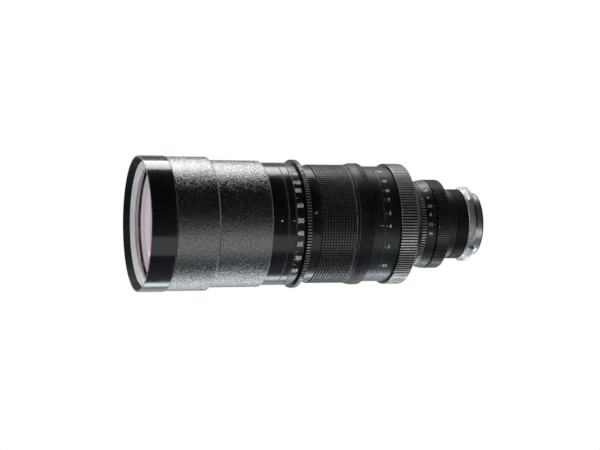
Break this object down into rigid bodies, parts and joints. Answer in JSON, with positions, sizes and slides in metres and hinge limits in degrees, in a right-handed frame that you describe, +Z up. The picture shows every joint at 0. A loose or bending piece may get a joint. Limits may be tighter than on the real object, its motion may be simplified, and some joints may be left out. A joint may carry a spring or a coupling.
{
  "type": "cinema zoom lens",
  "caption": "Long cinema zoom lens with a stepped wrinkle-finish hood, geared zoom ring, ribbed focus ring, small iris ring and a bright lugged bayonet mount.",
  "frame": {"origin": "point on the lens axis in the plane of the flange seat, the rear face of the bayonet lugs", "axes": "+X along the lens axis towards the camera body, so the front glass faces -X; +Z up"},
  "size_m": [0.3008, 0.114, 0.114],
  "materials": {
    "gloss_black": "smooth gloss black paint",
    "wrinkle_paint": "coarse black wrinkle paint with a sheen",
    "retaining_enamel": "pale satin enamel",
    "coated_glass": "polished glass with a mauve coating",
    "clear_glass": "polished clear glass",
    "inner_black": "matte black anodised",
    "bare_alloy": "plain turned alloy",
    "screw_steel": "turned steel",
    "satin_barrel": "satin black anodised",
    "waffle_black": "black waffle knurl",
    "gear_black": "black anodised gear",
    "ribbed_alloy": "black ribs worn to bright metal",
    "knurled_black": "black fine ribs",
    "mount_steel": "bright turned stainless steel",
    "roller_brass": "turned brass",
    "blade_steel": "blackened spring steel"
  },
  "bodies": {
    "barrel": {"front_bezel": "gloss_black", "front_retaining_ring": "retaining_enamel", "front_flint_lens": "coated_glass", "front_crown_lens": "clear_glass", "front_spacer_ring": "inner_black", "front_singlet_lens": "clear_glass", "front_lens_cell": "inner_black", "hood_front_shell": "wrinkle_paint", "hood_rear_shell": "wrinkle_paint", "front_barrel": "gloss_black", "index_ring": "gloss_black", "guide_tube": "bare_alloy", "guide_tube_screws": "screw_steel", "ridge_ring": "gloss_black", "middle_barrel": "satin_barrel", "ring_stop_pins": "screw_steel", "rear_body": "gloss_black", "iris_base_plate": "inner_black", "iris_retainer": "inner_black", "rear_grip_ring": "knurled_black", "rear_tube": "satin_barrel", "rear_collar": "knurled_black", "mount_bayonet": "mount_steel", "mount_screws": "screw_steel", "rear_barrel": "mount_steel", "rear_lens_cell": "inner_black", "rear_crown_lens": "clear_glass", "rear_spacer_ring": "inner_black", "rear_singlet_lens": "clear_glass", "rear_retaining_ring": "inner_black"},
    "zoom_control": {"zoom_ring": "gloss_black", "zoom_gear_ring": "gear_black", "zoom_grip": "waffle_black", "cam_barrel": "bare_alloy", "zoom_key_screws": "screw_steel"},
    "variator": {"variator_cell": "inner_black", "variator_front_lens": "clear_glass", "variator_rear_lens": "clear_glass", "variator_rollers": "roller_brass"},
    "compensator": {"compensator_cell": "inner_black", "compensator_lens": "clear_glass", "compensator_rollers": "roller_brass"},
    "focus_control": {"focus_scale_ring": "satin_barrel", "focus_grip_ring": "ribbed_alloy", "focus_sleeve": "bare_alloy", "focus_key_screws": "screw_steel"},
    "focus_group": {"focus_cell": "inner_black", "focus_front_lens": "clear_glass", "focus_rear_lens": "clear_glass", "focus_rollers": "roller_brass"},
    "iris_control": {"iris_ring": "satin_barrel", "iris_drive_ring": "bare_alloy", "iris_drive_pin": "screw_steel"},
    "blade_1": {"iris_blade_1": "blade_steel"},
    "blade_2": {"iris_blade_2": "blade_steel"},
    "blade_3": {"iris_blade_3": "blade_steel"},
    "blade_4": {"iris_blade_4": "blade_steel"},
    "blade_5": {"iris_blade_5": "blade_steel"},
    "blade_6": {"iris_blade_6": "blade_steel"}
  },
  "joints": [
    {"name": "zoom_turn", "type": "hinge", "parent": "barrel", "child": "zoom_control", "pos_m": [0, 0, 0], "axis": [1, 0, 0], "range_deg": [-72, 51]},
    {"name": "variator_slide", "type": "slide", "parent": "barrel", "child": "variator", "axis": [1, 0, 0], "range_m": [-0.0202, 0.0143]},
    {"name": "compensator_slide", "type": "slide", "parent": "barrel", "child": "compensator", "axis": [1, 0, 0], "range_m": [-0.0045, 0.0063]},
    {"name": "focus_turn", "type": "hinge", "parent": "barrel", "child": "focus_control", "pos_m": [0, 0, 0], "axis": [1, 0, 0], "range_deg": [-50, 78]},
    {"name": "focus_slide", "type": "slide", "parent": "barrel", "child": "focus_group", "axis": [1, 0, 0], "range_m": [-0.0048, 0.0031]},
    {"name": "iris_turn", "type": "hinge", "parent": "barrel", "child": "iris_control", "pos_m": [0, 0, 0], "axis": [1, 0, 0], "range_deg": [-20, 55]},
    {"name": "blade_1_swing", "type": "hinge", "parent": "barrel", "child": "blade_1", "pos_m": [-0.048, 0.025, 0], "axis": [1, 0, 0], "range_deg": [-22.8, 8.3]},
    {"name": "blade_2_swing", "type": "hinge", "parent": "barrel", "child": "blade_2", "pos_m": [-0.048, 0.0125, 0.02165], "axis": [1, 0, 0], "range_deg": [-22.8, 8.3]},
    {"name": "blade_3_swing", "type": "hinge", "parent": "barrel", "child": "blade_3", "pos_m": [-0.048, -0.0125, 0.02165], "axis": [1, 0, 0], "range_deg": [-22.8, 8.3]},
    {"name": "blade_4_swing", "type": "hinge", "parent": "barrel", "child": "blade_4", "pos_m": [-0.048, -0.025, 0], "axis": [1, 0, 0], "range_deg": [-22.8, 8.3]},
    {"name": "blade_5_swing", "type": "hinge", "parent": "barrel", "child": "blade_5", "pos_m": [-0.048, -0.0125, -0.02165], "axis": [1, 0, 0], "range_deg": [-22.8, 8.3]},
    {"name": "blade_6_swing", "type": "hinge", "parent": "barrel", "child": "blade_6", "pos_m": [-0.048, 0.0125, -0.02165], "axis": [1, 0, 0], "range_deg": [-22.8, 8.3]}
  ],
  "couplings": [
    {"joint": "variator_slide", "follows": "zoom_turn", "m_per_rad": 0.016},
    {"joint": "compensator_slide", "follows": "zoom_turn", "m_per_rad": -0.005},
    {"joint": "focus_slide", "follows": "focus_turn", "m_per_rad": -0.0035},
    {"joint": "blade_1_swing", "follows": "iris_turn", "ratio": -0.41333},
    {"joint": "blade_2_swing", "follows": "iris_turn", "ratio": -0.41333},
    {"joint": "blade_3_swing", "follows": "iris_turn", "ratio": -0.41333},
    {"joint": "blade_4_swing", "follows": "iris_turn", "ratio": -0.41333},
    {"joint": "blade_5_swing", "follows": "iris_turn", "ratio": -0.41333},
    {"joint": "blade_6_swing", "follows": "iris_turn", "ratio": -0.41333}
  ]
}
